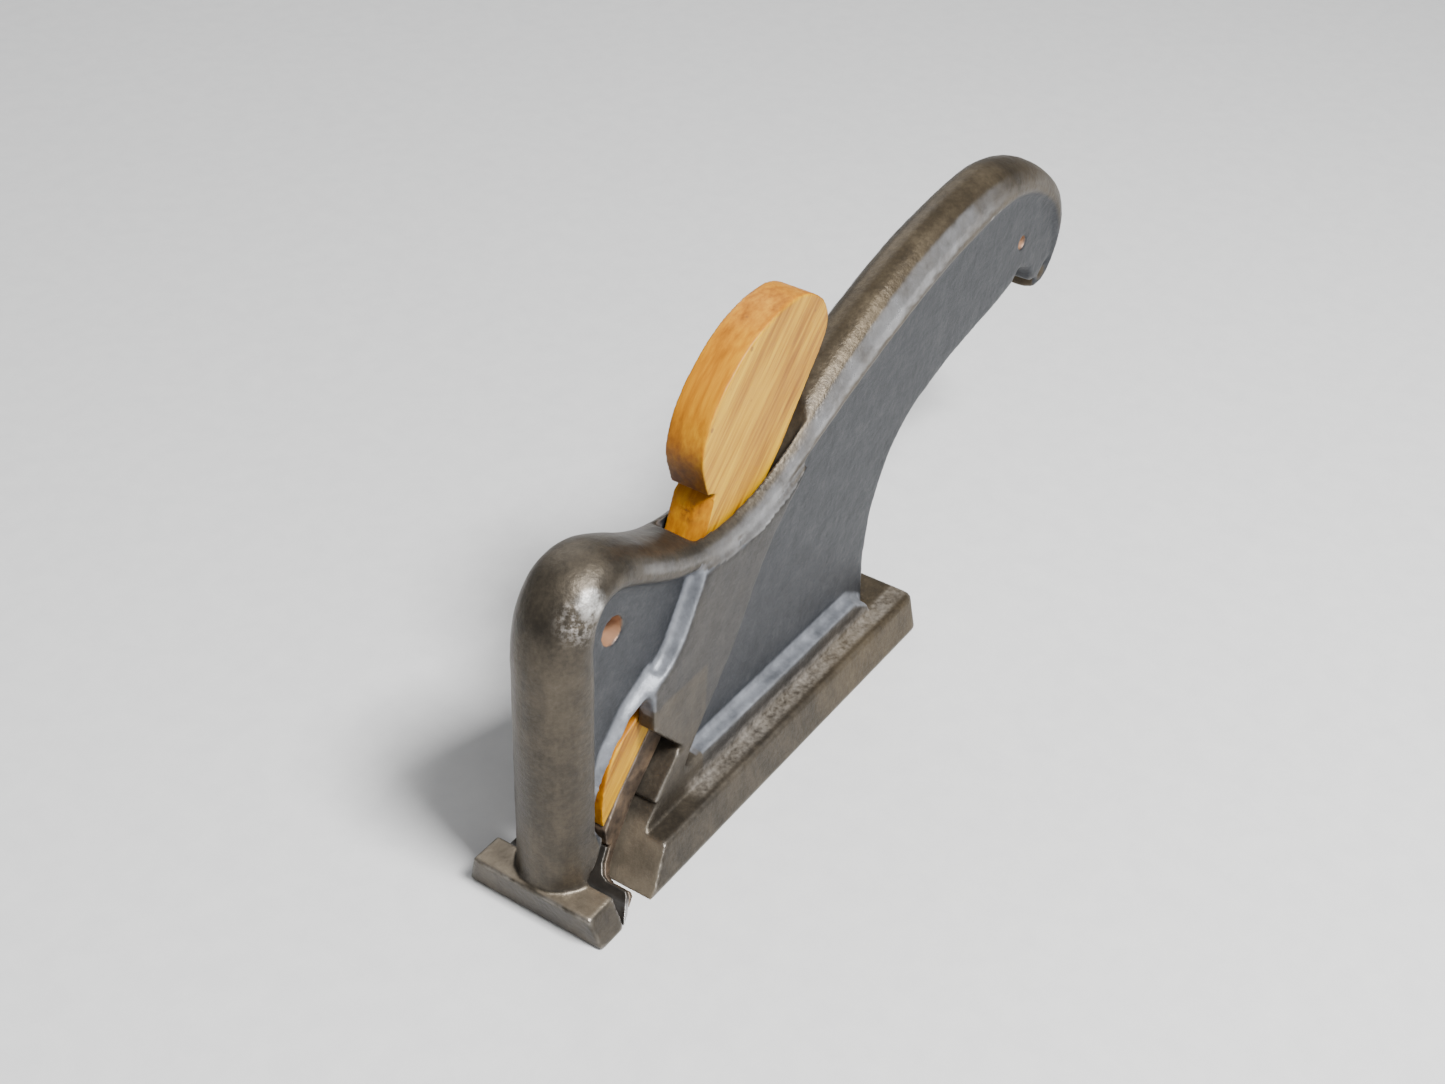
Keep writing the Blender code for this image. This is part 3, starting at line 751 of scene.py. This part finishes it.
def gunmetal():
    """Old patina: brown-olive on the rim and sole, slate black in the recesses, bright worn edges, darker
    concave corners, with painted highlights on the rim and rail and painted light on the sole and in the
    holes.
    """
    paint = Paint("patinated_gunmetal")
    cloud = paint.noise(14.0, 6.0, 0.6)
    streak = paint.noise(2.6, 4.0, 0.6, paint.stretched((1.0, 1.0, 0.10)))
    speck = paint.noise(0.8, 5.0, 0.65)
    blotch = paint.noise(4.5, 5.0, 0.65)
    tone = paint.blend(0.22, paint.blend(0.30, paint.blend(0.35, cloud, streak), blotch), speck)
    patina = paint.colours(tone, [
        (0.32, (0.022, 0.019, 0.016)),
        (0.46, (0.048, 0.040, 0.030)),
        (0.58, (0.084, 0.069, 0.050)),
        (0.72, (0.122, 0.104, 0.082)),
    ])
    olive = paint.colours(tone, [
        (0.32, (0.026, 0.020, 0.013)),
        (0.48, (0.066, 0.049, 0.028)),
        (0.66, (0.130, 0.100, 0.060)),
    ])
    patina = paint.mix(paint.times(paint.mask("tail_rim"), 0.8), patina, olive)
    slate = paint.colours(paint.blend(0.5, blotch, speck), [
        (0.32, (0.010, 0.011, 0.013)),
        (0.50, (0.020, 0.022, 0.026)),
        (0.68, (0.046, 0.047, 0.050)),
    ])
    recess = paint.mask("recess")
    colour = paint.mix(recess, patina, slate)
    broken = paint.scaled(paint.noise(3.0, 6.0, 0.7), 0.36, 0.60)
    # Breaks up the painted highlight spots
    highlight_places = paint.scaled(paint.noise(1.4, 6.0, 0.7), 0.34, 0.62)
    softly = paint.scaled(paint.noise(5.0, 5.0, 0.6), 0.30, 0.66, 0.35, 1.0)
    # Darker, near black, in the concave corners
    corner_dark = paint.times(paint.mask("corner_dark"), 0.75)
    colour = paint.mix(corner_dark, colour, CORNER_DARK_BLACK)
    # Painted sheen, light blue-grey, on the rail's top and the housing's front wall
    shelf_sheen = paint.times(paint.mask("shelf_sheen"), softly)
    colour = paint.mix(paint.times(shelf_sheen, 0.80), colour, SHELF_SHEEN_GREY)
    # Painted highlight, light grey, along the rim's shoulders
    shoulder_highlight = paint.times(paint.mask("shoulder_highlight"), softly)
    colour = paint.mix(paint.times(shoulder_highlight, 0.80), colour, SHOULDER_HIGHLIGHT_GREY)
    worn = paint.times(paint.mask("worn"), broken)
    colour = paint.mix(paint.times(worn, 0.7), colour, WORN_METAL)
    # Painted light, a lighter brown, on the heel's front face and the toe's top
    sole = paint.times(paint.mask("sole_lighter"), softly)
    colour = paint.mix(paint.times(sole, 0.75), colour, SOLE_LIGHTER_BROWN)
    # Painted highlights, near white, on the nose's dome and the tail
    bright = paint.times(paint.mask("bright"), highlight_places)
    colour = paint.mix(paint.times(bright, 0.9), colour, SPOT_HIGHLIGHT_WHITE)
    knocked = paint.times(paint.mask("rough"), paint.scaled(speck, 0.46, 0.62))
    colour = paint.mix(paint.times(knocked, 0.7), colour, KNOCKED_METAL)
    gritty = paint.blend(0.5, speck, paint.noise(3.0, 5.0, 0.6))
    dust = paint.times(paint.mask("ledge_line"), paint.scaled(gritty, 0.32, 0.74))
    colour = paint.mix(paint.times(dust, 0.6), colour, DUST)
    # Painted light, a lit copper brown, on the walls of the drilled holes
    bore_light = paint.mask("bore_light")
    colour = paint.mix(paint.times(bore_light, 0.85), colour, BORE_LIGHT_COPPER)
    polished = paint.maths("MAXIMUM", paint.maths("MAXIMUM", worn, bright), shoulder_highlight)
    rough = paint.blend(recess, paint.scaled(cloud, 0.3, 0.7, 0.34, 0.48), 0.46)
    rough = paint.blend(polished, rough, 0.27)
    rough = paint.blend(dust, rough, 0.85)
    metallic = paint.blend(recess, 0.70, 0.45)
    metallic = paint.blend(dust, metallic, 0.10)
    skin = paint.bump(paint.noise(0.9, 6.0, 0.65), 0.15, 0.70)
    dents = paint.scaled(paint.pits(3.4), 0.0, 0.22)
    skin = paint.bump(dents, 0.05, 0.4, skin)
    return paint.finish(colour, rough, metallic, skin)


def boxwood():
    """Golden boxwood, grain along the wedge, browner on its narrow faces and stained at the notch."""
    paint = Paint("boxwood")
    along = paint.stretched((1.0, 1.0, 0.07), (0.0, math.radians(45), 0.0))
    broad = paint.noise(5.0, 4.0, 0.55, along)
    fine = paint.noise(0.9, 5.0, 0.6, along)
    tone = paint.blend(0.45, broad, fine)
    face = paint.colours(tone, [
        (0.36, (0.19, 0.066, 0.0002)),
        (0.45, (0.31, 0.138, 0.0003)),
        (0.53, (0.42, 0.216, 0.0005)),
        (0.64, (0.54, 0.315, 0.0010)),
    ])
    edge = paint.colours(tone, [
        (0.32, (0.19, 0.054, 0.0004)),
        (0.50, (0.36, 0.126, 0.0008)),
        (0.68, (0.50, 0.215, 0.0020)),
    ])
    narrow = paint.mask("edge_face")
    colour = paint.mix(paint.times(narrow, 0.85), face, edge)
    mottle = paint.noise(2.4, 5.0, 0.6, along)
    stain = paint.times(paint.mask("stain"), paint.scaled(mottle, 0.25, 0.60, 0.55, 1.0))
    colour = paint.mix(paint.times(stain, 0.9), colour, WOOD_STAIN)
    mark = paint.times(paint.mask("dark_mark"), paint.scaled(paint.noise(1.3), 0.42, 0.56))
    colour = paint.mix(paint.times(mark, 0.8), colour, WOOD_MARK)
    flecks = paint.scaled(paint.pits(7.0), 0.05, 0.075, 1.0, 0.0)
    colour = paint.mix(paint.times(flecks, 0.7), colour, WOOD_FLECK)
    polish = paint.times(paint.mask("worn"), 0.35)
    colour = paint.mix(polish, colour, WOOD_POLISH)
    # Darker brown in the concave corners
    corner_dark = paint.times(paint.mask("corner_dark"), 0.7)
    colour = paint.mix(corner_dark, colour, WOOD_CORNER_DARK)
    rough = paint.scaled(tone, 0.3, 0.75, 0.52, 0.38)
    paint.shader.inputs["Specular IOR Level"].default_value = 0.3
    grain = paint.bump(fine, 0.06, 0.5)
    return paint.finish(colour, rough, 0.0, grain)


def forged_iron():
    """Brown-black forged iron with rusty patches and rubbed edges."""
    paint = Paint("forged_iron")
    cloud = paint.noise(4.0, 6.0, 0.65)
    colour = paint.colours(cloud, [
        (0.32, (0.045, 0.036, 0.030)),
        (0.52, (0.105, 0.074, 0.050)),
        (0.70, (0.180, 0.118, 0.070)),
    ])
    worn = paint.times(paint.mask("worn"), paint.scaled(cloud, 0.35, 0.55))
    colour = paint.mix(paint.times(worn, 0.45), colour, RUBBED_IRON)
    rough = paint.blend(worn, paint.scaled(cloud, 0.3, 0.7, 0.48, 0.68), 0.32)
    metallic = paint.scaled(cloud, 0.35, 0.70, 0.85, 0.45)
    pitted = paint.bump(paint.noise(0.6, 6.0, 0.7), 0.10, 0.6)
    return paint.finish(colour, rough, metallic, pitted)


def edge_steel():
    """Steel, honed bright at the cutting edge and darker above it, with fine grinding lines."""
    paint = Paint("edge_steel")
    lines = paint.noise(0.25, 3.0, 0.6, paint.stretched((1.0, 0.05, 1.0)))
    cloud = paint.noise(5.0, 5.0, 0.6)
    colour = paint.colours(paint.blend(0.4, cloud, lines), [
        (0.30, (0.30, 0.29, 0.28)),
        (0.55, (0.50, 0.49, 0.48)),
        (0.75, (0.66, 0.65, 0.64)),
    ])
    dull = paint.colours(cloud, [(0.3, (0.050, 0.045, 0.040)), (0.7, (0.130, 0.115, 0.098))])
    honed = paint.maths("MAXIMUM", paint.mask("honed"), paint.times(paint.mask("worn"), 0.12))
    colour = paint.mix(honed, dull, colour)
    rough = paint.blend(honed, 0.50, paint.scaled(cloud, 0.3, 0.7, 0.20, 0.36))
    ground = paint.bump(lines, 0.02, 0.4)
    return paint.finish(colour, rough, 1.0, ground)


def paper_floor():
    """Pale matt floor with a faint fibre."""
    paint = Paint("pale_floor")
    fibre = paint.noise(6.0, 4.0, 0.6)
    colour = paint.colours(fibre, [(0.3, (0.60, 0.60, 0.60)), (0.7, (0.64, 0.64, 0.635))])
    return paint.finish(colour, 0.85, 0.0, paint.bump(fibre, 0.05, 0.3))


# ---------------------------------------------------------------- stage

def make_camera():
    """Camera at the photograph's viewing angle."""
    azimuth = math.radians(CAMERA_AZIMUTH)
    elevation = math.radians(CAMERA_ELEVATION)
    level = math.cos(elevation)
    back = Vector((math.sin(azimuth) * level, -math.cos(azimuth) * level, math.sin(elevation)))
    right = (-back).cross(Vector((0.0, 0.0, 1.0))).normalized()
    upward = back.cross(right)
    turn = Matrix((right, upward, back)).transposed().to_4x4()
    roll = Matrix.Rotation(math.radians(CAMERA_ROLL), 4, "Z")
    data = bpy.data.cameras.new("camera")
    data.sensor_width = SENSOR_WIDTH
    data.lens = CAMERA_LENS
    data.clip_start = 0.01
    camera = bpy.data.objects.new("camera", data)
    bpy.context.scene.collection.objects.link(camera)
    camera.matrix_world = Matrix.Translation(Vector(CAMERA_PLACE) * MM) @ turn @ roll
    bpy.context.scene.camera = camera


def add_softbox(name, direction, distance, size, watts):
    """Square area light aimed at the plane."""
    data = bpy.data.lights.new(name, "AREA")
    data.size = size
    data.energy = watts
    lamp = bpy.data.objects.new(name, data)
    bpy.context.scene.collection.objects.link(lamp)
    way = Vector(direction).normalized()
    lamp.location = AIM + way * distance
    lamp.rotation_mode = "QUATERNION"
    lamp.rotation_quaternion = way.to_track_quat("Z", "Y")


def make_stage():
    """Pale floor, even surroundings and soft lights."""
    shape = bmesh.new()
    bmesh.ops.create_grid(shape, x_segments=1, y_segments=1, size=FLOOR_HALF)
    mesh = bpy.data.meshes.new("floor")
    shape.to_mesh(mesh)
    shape.free()
    floor = bpy.data.objects.new("floor", mesh)
    bpy.context.scene.collection.objects.link(floor)
    floor.location.z = -FLOOR_DROP * MM
    mesh.materials.append(paper_floor())
    world = bpy.data.worlds.new("studio")
    world.use_nodes = True
    sky = world.node_tree.nodes["Background"]
    sky.inputs["Color"].default_value = SKY_COLOUR
    sky.inputs["Strength"].default_value = SKY_STRENGTH
    bpy.context.scene.world = world
    for softbox in SOFTBOXES:
        add_softbox(*softbox)


# ---------------------------------------------------------------- assembly

def place(piece, material, node, body, slot):
    """Give a piece its material and put it on its body in place of the CAD node."""
    piece.data.materials.append(material)
    piece.data.shade_smooth()
    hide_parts(node)
    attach(piece, body)


make_camera()
make_stage()
place(make_casting(), gunmetal(), "plane_body", "plane", "body")
place(make_wedge(), boxwood(), "wedge", "wedge", "wedge")
shank = make_iron_piece("iron_shank", "iron_forged", IRON_VOXEL, IRON_RELIEF, seed=6)
place(shank, forged_iron(), "iron_shank", "iron", "iron")
place(make_steel(), edge_steel(), "cutting_steel", "iron", "edge_steel")
